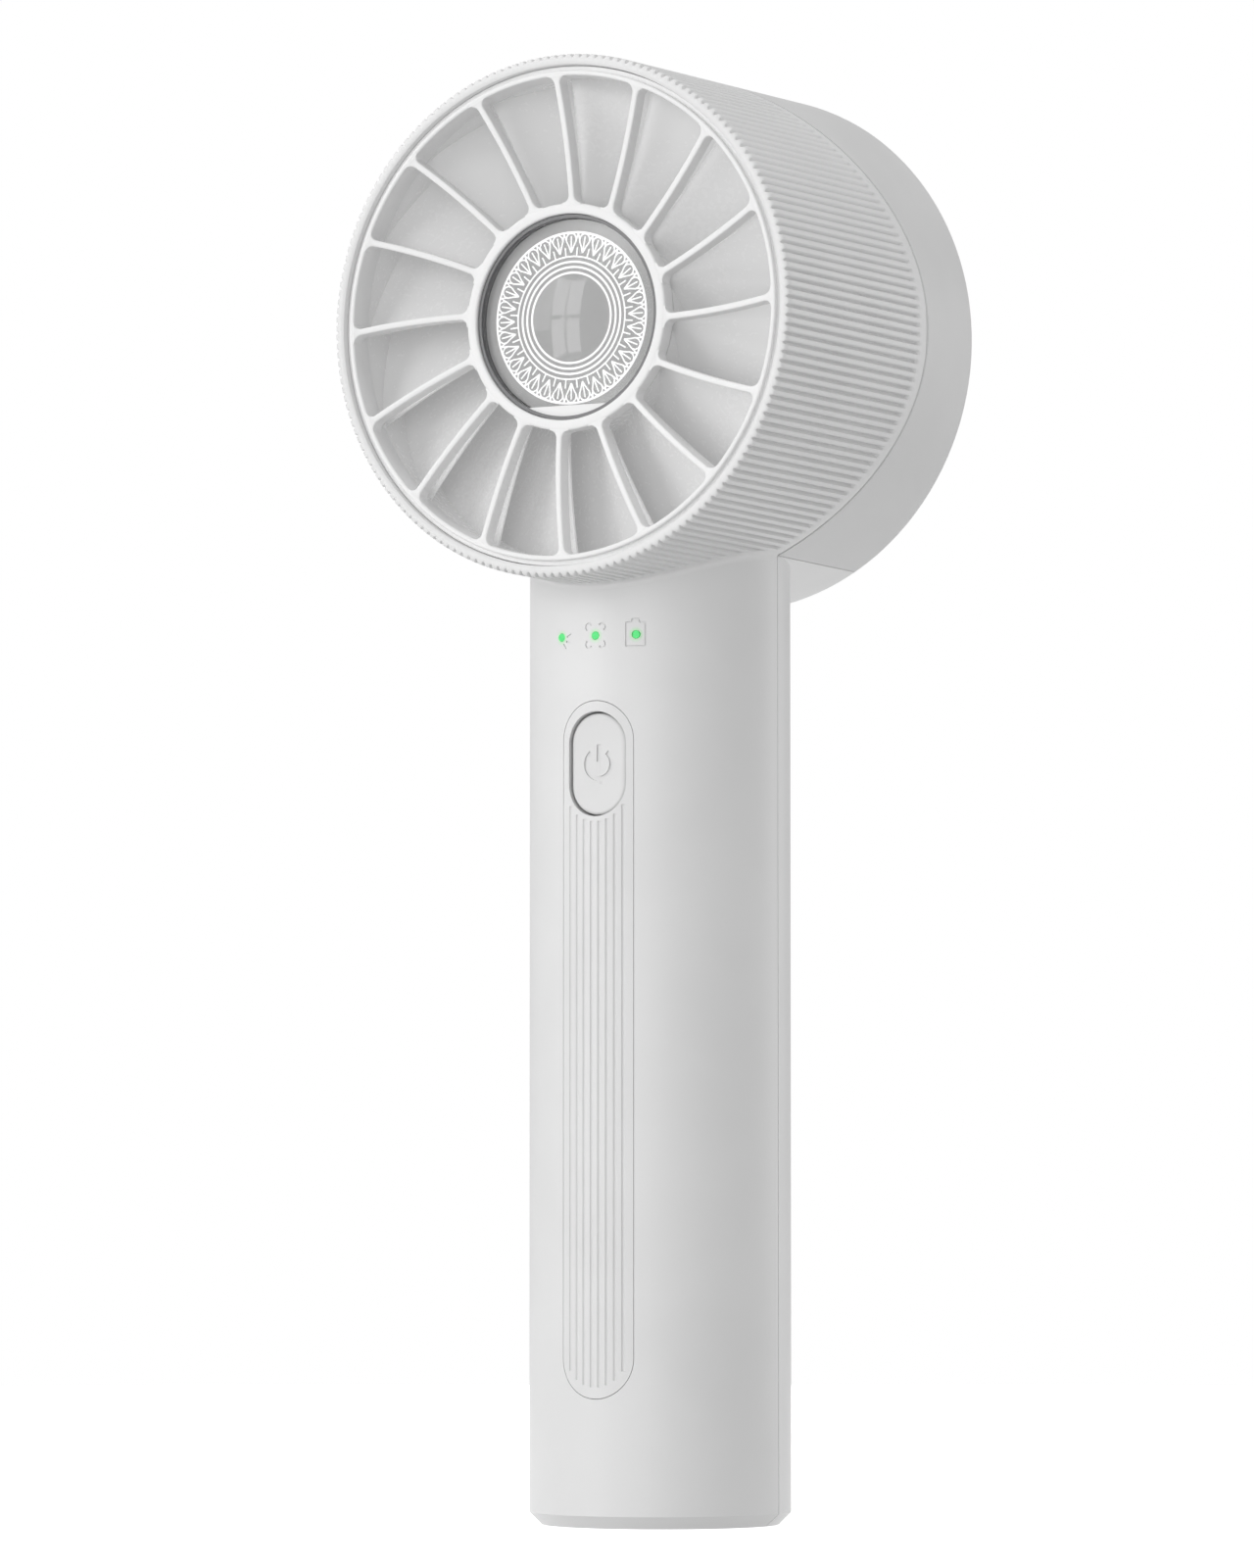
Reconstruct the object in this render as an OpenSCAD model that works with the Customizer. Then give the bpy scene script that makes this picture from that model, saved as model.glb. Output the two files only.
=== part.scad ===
// Handheld electric fan: a ribbed round fan head on a straight cylindrical handle.
// +Z is up the handle, the airflow leaves towards -Y, and the base stands on Z = 0.

/* [Head] */
// Height of the fan's axis above the base
head_z = 182; // [181:0.5:186]
// Radius over the ribs at the front rim
head_r_front = 39.5; // [39.4:0.1:40]
// Radius over the ribs at the rear rim
head_r_back = 40.5; // [40.3:0.1:41]
// Distance from the handle's axis forward to the front rim
head_front = 31.4; // [31.2:0.1:32]
// Distance from the handle's axis back to the rear rim
head_back = 27.8; // [27.5:0.1:29]
// Radius of the bore that the grille and the guide vanes sit in
bore_r = 37.8; // [37.7:0.05:37.9]
// Radius of the curved parting surface between the front and rear shells
parting_r = 64; // [60:1:70]
// Where the parting surface meets the side of the barrel, behind the axis
parting_side_y = 12; // [11.6:0.1:12.6]
// Width of the hairline gap along the parting
parting_gap = 0.2; // [0.1:0.05:0.3]

/* [Handle] */
// Radius of the handle
handle_r = 20; // [20:0.1:20.5]
// Wall of the handle
handle_wall = 2.2; // [2.1:0.1:2.4]
// Chamfer round the base
base_chamfer = 1.9; // [1:0.1:2]
// Thickness of the base floor
floor_t = 2.6; // [2.2:0.1:3]
// Half width of the grip inlay
inlay_half_w = 6.05; // [5.8:0.05:6.2]
// Lower end of the grip inlay
inlay_z0 = 19.5; // [19:0.5:22]
// Upper end of the grip inlay
inlay_z1 = 124.6; // [124.5:0.1:126]
// Thickness of the grip inlay
inlay_t = 1.0; // [0.9:0.05:1.1]
// Number of grooves in the grip inlay
groove_n = 8; // [6:1:9]
// Distance between the grooves, measured round the handle in degrees
groove_pitch = 3.75; // [3.4:0.05:3.8]
// Height of the three indicators
led_z = 134.5; // [134:0.1:136]
// Angle between the indicators, round the handle
led_angle = 18.8; // [17:0.1:19]

/* [Power button] */
// Half width of the button
button_half_w = 4.7; // [4.4:0.05:4.8]
// Height of the button
button_h = 15.4; // [14.5:0.1:15.6]
// Height of the button's centre
button_z = 115.1; // [115:0.1:115.8]
// Travel of the button
button_travel = 0.6; // [0.4:0.1:0.7]

/* [Front grille] */
// Number of spokes
spoke_n = 16; // [12:1:20]
// Width of a spoke
spoke_w = 1.0; // [0.8:0.1:1.3]
// Angle that a spoke sweeps from the rim to the hub
spoke_sweep = 4.5; // [0:0.5:8]
// How far the grille is dished, from its rim to its hub
grille_dish = 2; // [1:0.1:2.2]
// Outer radius of the grille's hub ring
hub_r = 17.2; // [16.8:0.1:17.4]
// Inner radius of the grille's hub ring
hub_bore = 15.6; // [15.5:0.05:15.7]
// Inner radius of the grille's rim
grille_r = 36.2; // [36:0.1:36.4]

/* [Blades] */
// Number of impeller blades
blade_n = 11; // [7:1:13]
// Radius at the blade tips
blade_tip_r = 36.1; // [35.5:0.1:36.2]
// Outer radius of the impeller's hub
impeller_hub_r = 16.4; // [16.2:0.1:16.6]

/* [Motor] */
// Diameter of the motor shaft
shaft_d = 3; // [3:0.1:3.05]
// Outer diameter of the ball bearings
bearing_d = 8; // [7.9:0.1:8]
// Number of stator teeth and coils
coil_n = 9; // [6:3:12]

/* [Battery] */
// Diameter of the cell
cell_d = 21.2; // [20.8:0.1:21.4]
// Length of the cell
cell_l = 70; // [68:0.5:70.5]
// Lower end of the cell
cell_z = 28; // [27.5:0.1:28.5]
// Distance of the cell behind the handle's axis
cell_y = 4.6; // [4.4:0.1:4.8]

/* [Charging socket] */
// Height of the socket above the base
usb_z = 15; // [14.5:0.1:15.5]

/* [Hidden] */
$fn = 96;
fit = 0.1;                                // clearance between mating plastic parts
parting_y = parting_side_y + sqrt(parting_r * parting_r - 40.3 * 40.3);
cavity_r = handle_r - handle_wall;
sleeve_r = 38.3;                          // bore behind the guide vanes, for the rear sleeve
duct_r = 37;                              // bore that the impeller turns in
vane_back = -12.5;                        // rear end of the guide vanes' rings
vane_n = spoke_n;                         // one guide vane behind each spoke
spoke_turn = 0.9;                         // turn of the spokes and the vanes about the axis
grille_front = -head_front + 0.2;
cell_r = cell_d / 2;
screw_x = 14.2;
screw_zs = [15, 110];
bearing_r = bearing_d / 2;
shaft_r = shaft_d / 2;
running = 0.02;                           // shaft in its bearings
core_r = 11.4;
shoe_a = 150 / coil_n;                    // half the angle of a pole shoe
floor_back = -13;                         // rear face of the guide-vane hub's floor
board_y = -13.2;                          // front face of the control board
board_t = 1.2;
switch_t = 0.75;                          // thickness of the switch's body
board_posts = [97.5, 137];                // heights of the control board's posts
lead_y = -15.5;                           // motor leads, down through the cable arm
lead_r = 0.35;
white = [0.93, 0.93, 0.93];
steel = [0.75, 0.76, 0.78];
copper = [0.78, 0.45, 0.22];
board_green = [0.1, 0.36, 0.22];

// ---------- helpers ----------

// Turns local Z to world +Y about the fan's axis.
module on_fan_axis() { translate([0, 0, head_z]) rotate([-90, 0, 0]) children(); }

// A ring about the fan's axis from y0 to y1.
module ring(r_out, r_in, y0, y1) {
    translate([0, 0, y0]) difference() {
        cylinder(h = y1 - y0, r = r_out);
        translate([0, 0, -1]) cylinder(h = y1 - y0 + 2, r = r_in);
    }
}

// A disc about the fan's axis from y0 to y1.
module disc(r, y0, y1) { translate([0, 0, y0]) cylinder(h = y1 - y0, r = r); }

// An upright stadium outline that is centred on x = 0.
module stadium(half_w, z0, z1) {
    translate([0, z0 + half_w]) circle(r = half_w);
    translate([0, z1 - half_w]) circle(r = half_w);
    translate([-half_w, z0 + half_w]) square([2 * half_w, z1 - z0 - 2 * half_w]);
}

// A stadium prism that runs along Y from y0 to y1.
module stadium_prism(half_w, z0, z1, y0, y1) {
    translate([0, y1, 0]) rotate([90, 0, 0]) linear_extrude(y1 - y0) stadium(half_w, z0, z1);
}

// A pin along Y.
module pin_y(r, x, z, y0, y1) { translate([x, y0, z]) rotate([-90, 0, 0]) cylinder(h = y1 - y0, r = r); }

// A round wire through a list of points, with ball corners.
module wire(points, r) {
    for (i = [0 : len(points) - 2]) {
        a = points[i];
        b = points[i + 1];
        d = b - a;
        l = norm(d);
        translate(a) rotate([0, acos(d[2] / l), atan2(d[1], d[0])]) cylinder(h = l, r = r, $fn = 24);
        if (i > 0) translate(a) sphere(r = r, $fn = 24);
    }
}

// ---------- casings ----------

// The whole outside of the head.
module head_outer() {
    on_fan_axis() rotate_extrude() {
        polygon([[0, -head_front], [head_r_front - 0.8, -head_front], [head_r_front, -head_front + 0.8],
            [head_r_back, head_back - 2], [head_r_back - 2, head_back - 2],
            [head_r_back - 2, head_back], [0, head_back]]);
        translate([head_r_back - 2, head_back - 2]) circle(r = 2);
    }
}

// The whole outside of the handle.
module handle_outer() {
    cylinder(h = base_chamfer, r1 = handle_r - base_chamfer, r2 = handle_r);
    translate([0, 0, base_chamfer]) cylinder(h = head_z - 20 - base_chamfer, r = handle_r);
}

// Everything behind the curved parting surface.
module behind_parting(gap) {
    translate([0, parting_y, -5]) cylinder(h = 250, r = parting_r - gap);
}

// The head and handle as one hollow body, before it is parted.
module hollow_body() {
    difference() {
        union() { head_outer(); handle_outer(); }
        on_fan_axis() {
            disc(bore_r, -head_front - 1, vane_back);
            disc(duct_r, -head_front - 1, head_back + 1);
            disc(sleeve_r, vane_back + 1, head_back - 3);
        }
        difference() {
            translate([0, 0, floor_t]) cylinder(h = head_z - floor_t - 20, r = cavity_r);
            on_fan_axis() disc(head_r_front + 0.6, -60, 60);
        }
        // hole for the motor leads
        translate([0, lead_y, head_z - 46]) cylinder(h = 12, r = 1.3);
    }
}

// Bosses for the handle screws, from y0 to y1, with holes of radius hole_r.
module screw_bosses(y0, y1, hole_r) {
    for (side = [-1, 1], z = screw_zs) difference() {
        intersection() {
            pin_y(2.3, side * screw_x, z, y0, y1);
            cylinder(h = head_z, r = cavity_r + 0.1);
        }
        pin_y(hole_r, side * screw_x, z, y0 - 1, y1 + 1);
    }
}

module front_housing() {
    color(white) difference() {
        union() {
            difference() { hollow_body(); behind_parting(0); }
            screw_bosses(-12, -1.3, 0.8);
            // ribs that the battery cradle rests on
            for (z = [34, 86]) intersection() {
                translate([-3, -18, z]) cube([6, 18 + cell_y - cell_r - 1.5, 2]);
                cylinder(h = head_z, r = cavity_r + 0.1);
            }
            // posts that the control board is screwed to
            for (side = [-1, 1], z = board_posts) difference() {
                intersection() {
                    pin_y(1.9, side * 9.5, z, -19, board_y);
                    cylinder(h = head_z, r = cavity_r + 0.1);
                }
                pin_y(0.7, side * 9.5, z, board_y - 2.5, board_y + 1);
            }
        }
        // seat of the grip inlay, and the button's opening
        intersection() {
            difference() {
                cylinder(h = head_z, r = handle_r + 1);
                translate([0, 0, -1]) cylinder(h = head_z + 2, r = handle_r - inlay_t - fit);
            }
            stadium_prism(inlay_half_w + fit, inlay_z0 - fit, inlay_z1 + fit, -30, 0);
        }
        stadium_prism(button_half_w + 0.25, button_z - button_h / 2 - 0.25,
            button_z + button_h / 2 + 0.25, -30, -10);
        // light guide holes
        for (k = [-1, 0, 1]) pin_y(0.65, handle_r * sin(k * led_angle), led_z, -30, -12);
    }
}

// Keeps what lies under the handle's width, up to the barrel's lower side.
module handle_column() { translate([-handle_r, -60, -5]) cube([2 * handle_r, 120, head_z - 25]); }

module handle_back_shell() {
    color(white) difference() {
        union() {
            intersection() {
                hollow_body();
                behind_parting(parting_gap);
                handle_column();
            }
            screw_bosses(0.1, 16, 1.05);
            // shelf under the charging board
            intersection() {
                translate([-8, 11, usb_z - 5.2]) cube([16, 10, 2.1]);
                cylinder(h = head_z, r = cavity_r + 0.1);
            }
        }
        // screw head recesses
        for (side = [-1, 1], z = screw_zs) pin_y(2, side * screw_x, z, 7.5, 30);
        // opening of the charging socket
        translate([0, 30, usb_z]) rotate([90, 0, 0]) linear_extrude(16) rotate([0, 0, 90])
            stadium(1.75, -4.65, 4.65);
    }
}

module rear_cover() {
    color(white) {
        difference() {
            intersection() { hollow_body(); behind_parting(parting_gap); }
            translate([-handle_r - parting_gap, -60, -5])
                cube([2 * handle_r + 2 * parting_gap, 120, head_z - 25 + parting_gap]);
            on_fan_axis() disc(34.3, 20, 40);
        }
        // sleeve that carries on inside the front housing and lines the duct
        difference() {
            on_fan_axis() {
                ring(sleeve_r - fit, duct_r, vane_back + 1.2, head_back - 2.9);
                ring(duct_r + 0.5, 34.3, 23, head_back - 1.5);
            }
            // room for the foot of the drum, which belongs to the handle's shell
            intersection() {
                translate([-handle_r - parting_gap, -60, -5]) cube([2 * handle_r + 2 * parting_gap, 120, 180]);
                on_fan_axis() ring(60, duct_r - 0.15, head_back - 3.2, 60);
            }
        }
    }
}

module intake_grille() {
    color([0.86, 0.86, 0.86]) on_fan_axis() {
        ring(34.2, 32, 23.2, 27.2);
        for (k = [0 : 6]) ring(9.4 + k * 3.4, 8.2 + k * 3.4, 24.2, 26.6);
        disc(5.2, 24.2, 27.0);
        for (a = [0 : 30 : 330]) rotate([0, 0, a + 15])
            translate([4.6, -0.6, 24.2]) cube([28, 1.2, 1.8]);
    }
}

// ---------- front of the head ----------

// Half width of a spoke at radius r, wider at both ends.
function spoke_half(r) = spoke_w / 2
    + flare(r - hub_r + 0.2) + flare(grille_r + 0.2 - r);
function flare(d) = d >= 1.2 ? 0 : 1.2 - sqrt(1.44 - pow(1.2 - d, 2));
spoke_radii = [for (i = [0 : 20]) let (t = i / 20)
    hub_r - 0.1 + (grille_r - hub_r + 0.2) * (0.5 - 0.5 * cos(180 * t))];
function spoke_at(r) = -spoke_sweep * (grille_r - r) / (grille_r - hub_r);
function spoke_point(r, side) = [
    r * cos(spoke_at(r)) - side * spoke_half(r) * sin(spoke_at(r)),
    r * sin(spoke_at(r)) + side * spoke_half(r) * cos(spoke_at(r))];

module spoke_outline() {
    polygon(concat(
        [[hub_r - 0.6, spoke_point(hub_r - 0.1, -1)[1]]],
        [for (r = spoke_radii) spoke_point(r, -1)],
        [[grille_r + 0.5, 0]],
        [for (i = [len(spoke_radii) - 1 : -1 : 0]) spoke_point(spoke_radii[i], 1)],
        [[hub_r - 0.6, spoke_point(hub_r - 0.1, 1)[1]]]));
}

module front_grille() {
    color(white) on_fan_axis() {
        ring(37.0, grille_r, grille_front, -26.9);
        ring(bore_r - fit, grille_r, grille_front + 0.8, -26.9);
        ring(hub_r, hub_bore, grille_front + grille_dish, -26.6);
        // local Y points down, so the outline is mirrored to keep the sweep's direction
        intersection() {
            translate([0, 0, grille_front]) linear_extrude(5) for (k = [0 : spoke_n - 1])
                rotate(-k * 360 / spoke_n - spoke_turn) mirror([0, 1]) spoke_outline();
            // the dished layer that the spokes lie in
            rotate_extrude() polygon([[hub_r - 0.5, grille_front + grille_dish],
                [grille_r + 0.4, grille_front], [grille_r + 0.4, grille_front + 2.3],
                [hub_r - 0.5, grille_front + grille_dish + 2.3]]);
        }
    }
}

// A curved plate between two radii: an arc of radius bend, from y0 to y1, extruded outwards.
module curved_plate(bend, thick, y0, y1, r0, r1, dir) {
    intersection() {
        rotate([90, 0, 90]) linear_extrude(r1 + 2) intersection() {
            difference() {
                translate([dir * bend, y0]) circle(r = bend);
                translate([dir * bend, y0]) circle(r = bend - thick);
            }
            translate([dir > 0 ? 0 : -bend, y0]) square([bend, y1 - y0]);
        }
        ring(r1, r0, y0 - 1, y1 + 1);
    }
}

module guide_vanes() {
    color([0.8, 0.81, 0.82]) on_fan_axis() {
        difference() {
            union() {
                ring(bore_r - fit, 36.5, -26.7, vane_back);
                ring(16.4, 15, -24.9, vane_back);
                disc(15.1, -15, floor_back);
                for (k = [0 : vane_n - 1]) rotate([0, 0, k * 360 / vane_n - spoke_turn])
                    curved_plate(16, 1.2, -26.3, vane_back - 0.15, 16.1, 36.9, 1);
                // hollow arm that carries the motor leads down to the handle
                translate([-1.7, 15.2, lead_y - 1.7]) cube([3.4, 22, vane_back - lead_y + 1.7]);
            }
            translate([0, 12, lead_y]) rotate([-90, 0, 0]) cylinder(h = 28, r = 1.1);
            disc(5.25, -20, 0);
            for (a = [0 : 120 : 240]) rotate([0, 0, a]) translate([7.4, 0, -20])
                cylinder(h = 10, r = 1.05);
            // gap that the motor leads leave through
            translate([0, 11.4, -20]) cylinder(h = 10, r = 1.5);
        }
    }
}

module hub_cup() {
    color([0.55, 0.56, 0.57]) on_fan_axis() {
        ring(hub_bore - fit, 15, -28.6, -25.1);
        disc(15.1, -26.1, -25.1);
    }
}

module ornament_disc() {
    color([0.7, 0.7, 0.71]) on_fan_axis() disc(14.9, -27.3, -26.15);
}

module ornament_lens() {
    color([0.85, 0.87, 0.88]) on_fan_axis() {
        ring(14.9, 6.5, -28.2, -27.35);
        // the clear centre stands proud as a low dome
        intersection() {
            disc(6.6, -29.5, -27.35);
            translate([0, 0, -28.9 + 30]) sphere(r = 30);
        }
    }
}

// ---------- rotor ----------

module impeller() {
    color([0.82, 0.83, 0.84]) on_fan_axis() {
        difference() {
            union() {
                disc(impeller_hub_r, -10.8, 8);
                // rounded nose towards the intake
                translate([0, 0, 8]) rotate_extrude() intersection() {
                    translate([impeller_hub_r - 6, 0]) circle(r = 6);
                    translate([impeller_hub_r - 6, 0]) square([6, 6]);
                }
                disc(impeller_hub_r - 6, 7, 14);
            }
            disc(14.25, -11.5, 6.1);
        }
        for (k = [0 : blade_n - 1]) rotate([0, 0, k * 360 / blade_n])
            curved_plate(24, 1.2, -9.8, 9.6, impeller_hub_r - 0.2, blade_tip_r, -1);
    }
}

module rotor_can() {
    color(steel) on_fan_axis() difference() {
        union() {
            ring(14.2, 13.4, -9.2, 6);
            disc(14.2, 4.9, 6);
            disc(3.4, 3.6, 5);
        }
        disc(shaft_r + 0.01, 0, 10);
    }
}

module magnet_ring() { color([0.25, 0.25, 0.27]) on_fan_axis() ring(13.38, 11.9, -7.5, 2.5); }

module motor_shaft() {
    color(steel) on_fan_axis() difference() {
        disc(shaft_r, -14.2, 5.9);
        ring(3, shaft_r - 0.3, -13.4, -12.8);
    }
}

module shaft_clip() {
    color([0.3, 0.3, 0.32]) on_fan_axis() difference() {
        ring(2.6, shaft_r - 0.28, -13.35, -12.85);
        translate([1, -0.6, -14]) cube([3, 1.2, 2]);
    }
}

// ---------- motor stator ----------

module bearing_tube() {
    color([0.8, 0.68, 0.35]) on_fan_axis() difference() {
        union() {
            disc(5.2, -15, 3);
            disc(9.6, floor_back, floor_back + 1.4);
        }
        disc(bearing_r, -12.2, 4);
        disc(3.2, -16, 0);
        for (a = [0 : 120 : 240]) rotate([0, 0, a]) translate([7.4, 0, -20]) cylinder(h = 12, r = 0.8);
    }
}

// A ball bearing from y0 to y0 + 4.
module bearing(y0) {
    color(steel) on_fan_axis() difference() {
        disc(bearing_r - 0.01, y0, y0 + 4);
        disc(shaft_r + running, y0 - 1, y0 + 5);
        // grooves that show the two shields between the rings
        ring(3.3, 2.2, y0 - 1, y0 + 0.25);
        ring(3.3, 2.2, y0 + 3.75, y0 + 5);
    }
}

module front_bearing() { bearing(-12.2); }
module rear_bearing() { bearing(-1.1); }

module stator_core() {
    color([0.45, 0.46, 0.48]) on_fan_axis() translate([0, 0, -6.4]) linear_extrude(6) difference() {
        union() {
            circle(r = 7);
            for (k = [0 : coil_n - 1]) rotate(k * 360 / coil_n) {
                translate([6, -0.9]) square([4.9, 1.8]);
                // pole shoe
                intersection() {
                    difference() { circle(r = core_r); circle(r = 10.3); }
                    polygon([[0, 0], 14 * [cos(shoe_a), -sin(shoe_a)], 14 * [cos(shoe_a), sin(shoe_a)]]);
                }
            }
        }
        circle(r = 5.22);
    }
}

module motor_windings() {
    color(copper) on_fan_axis() for (k = [0 : coil_n - 1]) rotate([0, 0, k * 360 / coil_n])
        translate([7.35, 0, -3.4]) rotate([0, 90, 0]) difference() {
            translate([-4.1, -1.9, 0]) cube([8.2, 3.8, 2.7]);
            translate([-3.1, -1.0, -1]) cube([6.2, 2.0, 5]);
        }
}

module motor_board() {
    color(board_green) on_fan_axis() {
        ring(12.6, 5.4, -10.6, -9.7);
        // drive chip and the three lead pads
        rotate([0, 0, 200]) translate([7, -2, -11.2]) cube([3.6, 4, 0.7]);
    }
}

module motor_screws() {
    color(steel) on_fan_axis() for (a = [0 : 120 : 240]) rotate([0, 0, a]) translate([7.4, 0, 0]) {
        difference() {
            disc(1.9, -16.2, -15);
            translate([-1.2, -0.25, -17]) cube([2.4, 0.5, 1.3]);
        }
        disc(0.78, -15, floor_back + 1.2);
    }
}

module motor_leads() {
    color([0.75, 0.12, 0.1]) for (a = [0 : 120 : 240]) let (dx = 0.42 * sin(a), dy = 0.42 * cos(a)) wire([
        [dx, -10.65, head_z - 11.4 + dy],
        [dx, lead_y - dy, head_z - 11.4 + dy],
        [dx, lead_y - dy, 138 - dy],
        [dx, board_y - 0.05, 138 - dy]], lead_r);
}

// ---------- handle fittings ----------

module grip_inlay() {
    color(white) difference() {
        intersection() {
            difference() {
                cylinder(h = head_z, r = handle_r);
                translate([0, 0, -1]) cylinder(h = head_z + 2, r = handle_r - inlay_t);
            }
            stadium_prism(inlay_half_w, inlay_z0, inlay_z1, -30, 0);
        }
        stadium_prism(button_half_w + 0.25, button_z - button_h / 2 - 0.25,
            button_z + button_h / 2 + 0.25, -30, -10);
        for (k = [0 : groove_n - 1]) let (a = (k - (groove_n - 1) / 2) * groove_pitch,
                x = handle_r * sin(a), h = sqrt(pow(inlay_half_w - 0.6, 2) - x * x)) {
            z0 = inlay_z0 + inlay_half_w - h + 1.1;
            z1 = button_z - button_h / 2 + inlay_half_w - h - 1.6;
            rotate([0, 0, a]) translate([0, -handle_r - 0.1, z0])
                cylinder(h = z1 - z0, r = 0.34, $fn = 24);
        }
    }
}

module power_button() {
    color(white) {
        // cap with a shallow hollow for the thumb
        difference() {
            intersection() {
                cylinder(h = head_z, r = handle_r - 0.35);
                stadium_prism(button_half_w, button_z - button_h / 2, button_z + button_h / 2, -30, -16.6);
            }
            translate([0, -handle_r - 58.9, button_z]) rotate([0, 90, 0])
                translate([0, 0, -10]) cylinder(h = 20, r = 60, $fn = 96);
        }
        // flange that keeps the cap in
        stadium_prism(button_half_w + 0.9, button_z - button_h / 2 - 0.9,
            button_z + button_h / 2 + 0.9, -16.6, -15.9);
        // stem that meets the switch
        pin_y(1.6, 0, button_z, -15.9, -15.4);
    }
}

module switch_plunger() {
    color([0.15, 0.15, 0.16])
        pin_y(1.5, 0, button_z, -15.4, board_y - switch_t - button_travel - 0.05);
}

module switch_body() {
    color([0.5, 0.5, 0.52]) difference() {
        translate([-2.6, board_y - switch_t, button_z - 2.6]) cube([5.2, switch_t, 5.2]);
        pin_y(1.6, 0, button_z, -20, board_y - 0.01);
    }
}

module control_board() {
    color(board_green) {
        difference() {
            translate([-11.5, board_y, 93]) cube([23, board_t, 47.5]);
            for (side = [-1, 1], z = board_posts) pin_y(0.9, side * 9.5, z, board_y - 1, board_y + 3);
        }
        // components on the rear face
        translate([-4, board_y + board_t, 124]) cube([7, 1, 7]);
        translate([-9, board_y + board_t, 110]) cube([5, 2.2, 6]);
        translate([4, board_y + board_t, 103]) cube([4, 1.4, 5]);
    }
}

module board_screws() {
    color(steel) for (side = [-1, 1], z = board_posts) {
        pin_y(0.65, side * 9.5, z, board_y - 1, board_y + board_t);
        pin_y(1.6, side * 9.5, z, board_y + board_t, board_y + board_t + 1);
    }
}

module indicator_lenses() {
    color([0.5, 0.95, 0.6]) for (k = [-1, 0, 1])
        pin_y(0.6, handle_r * sin(k * led_angle), led_z, -handle_r * cos(k * led_angle) - 0.02, -14.3);
}

module indicator_leds() {
    color([0.95, 0.95, 0.8]) for (k = [-1, 0, 1])
        translate([handle_r * sin(k * led_angle) - 0.8, board_y - 0.6, led_z - 0.5]) cube([1.6, 0.6, 1]);
}

module battery_cell() {
    color([0.2, 0.45, 0.6]) translate([0, cell_y, cell_z]) {
        cylinder(h = cell_l, r = cell_r);
        translate([0, 0, cell_l]) cylinder(h = 1, r = 4);
    }
}

module battery_cradle() {
    color([0.25, 0.26, 0.28]) translate([0, cell_y, 0]) {
        // trough round the front half of the cell
        intersection() {
            difference() {
                translate([0, 0, cell_z - 3]) cylinder(h = cell_l + 7, r = cell_r + 1.3);
                translate([0, 0, cell_z - 1.4]) cylinder(h = cell_l + 3.8, r = cell_r + 0.15);
            }
            translate([-20, -20, 0]) cube([40, 20 - 1, 200]);
        }
    }
}

module battery_contacts() {
    color(steel) translate([0, cell_y, 0]) {
        translate([-3, -4, cell_z + cell_l + 1.1]) cube([6, 8, 0.4]);
        translate([0, 0, cell_z - 1.3]) cylinder(h = 0.4, r = 5);
        for (k = [0 : 1]) translate([0, 0, cell_z - 0.85 + k * 0.42])
            difference() {
                cylinder(h = 0.4, r = 4 - k);
                translate([0, 0, -1]) cylinder(h = 3, r = 3.2 - k);
            }
    }
}

module battery_leads() {
    color([0.7, 0.1, 0.1]) for (side = [-1, 1]) wire([
        [side * 6, board_y + 1.9, 92.9], [side * 6, board_y + 1.9, usb_z + 2],
        [side * 6, -2, usb_z + 2], [side * 6, -2, usb_z - 1.7]], 0.55);
}

module charge_board() {
    color(board_green) {
        translate([-8, -4, usb_z - 3]) cube([16, 19, 1.2]);
        translate([-3, 0, usb_z - 1.8]) cube([5, 5, 1.1]);
        translate([-7, 6, usb_z - 1.8]) cube([2.4, 3, 1]);
    }
}

// The metal can of a reversible charging socket.
module usb_shell() {
    color(steel) translate([0, 19.3, usb_z]) rotate([90, 0, 0]) difference() {
        linear_extrude(7.3) rotate([0, 0, 90]) stadium(1.63, -4.47, 4.47);
        translate([0, 0, -1]) linear_extrude(7.3) rotate([0, 0, 90]) stadium(1.3, -4.17, 4.17);
    }
}

module usb_tongue() {
    color([0.12, 0.12, 0.13]) translate([-3.35, 13, usb_z - 0.35]) cube([6.7, 5.3, 0.7]);
}

module housing_screws() {
    color(steel) for (side = [-1, 1], z = screw_zs) {
        pin_y(0.78, side * screw_x, z, -8, 7.5);
        difference() {
            pin_y(1.9, side * screw_x, z, 7.5, 8.9);
            translate([side * screw_x - 1.2, 8.3, z - 0.3]) cube([2.4, 1, 0.6]);
            translate([side * screw_x - 0.3, 8.3, z - 1.2]) cube([0.6, 1, 2.4]);
        }
    }
}

front_housing();
handle_back_shell();
rear_cover();
intake_grille();
front_grille();
guide_vanes();
hub_cup();
ornament_disc();
ornament_lens();
impeller();
rotor_can();
magnet_ring();
motor_shaft();
shaft_clip();
bearing_tube();
front_bearing();
rear_bearing();
stator_core();
motor_windings();
motor_board();
motor_screws();
motor_leads();
grip_inlay();
power_button();
switch_plunger();
switch_body();
control_board();
board_screws();
indicator_lenses();
indicator_leds();
battery_cell();
battery_cradle();
battery_contacts();
battery_leads();
charge_board();
usb_shell();
usb_tongue();
housing_screws();
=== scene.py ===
import math

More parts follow.
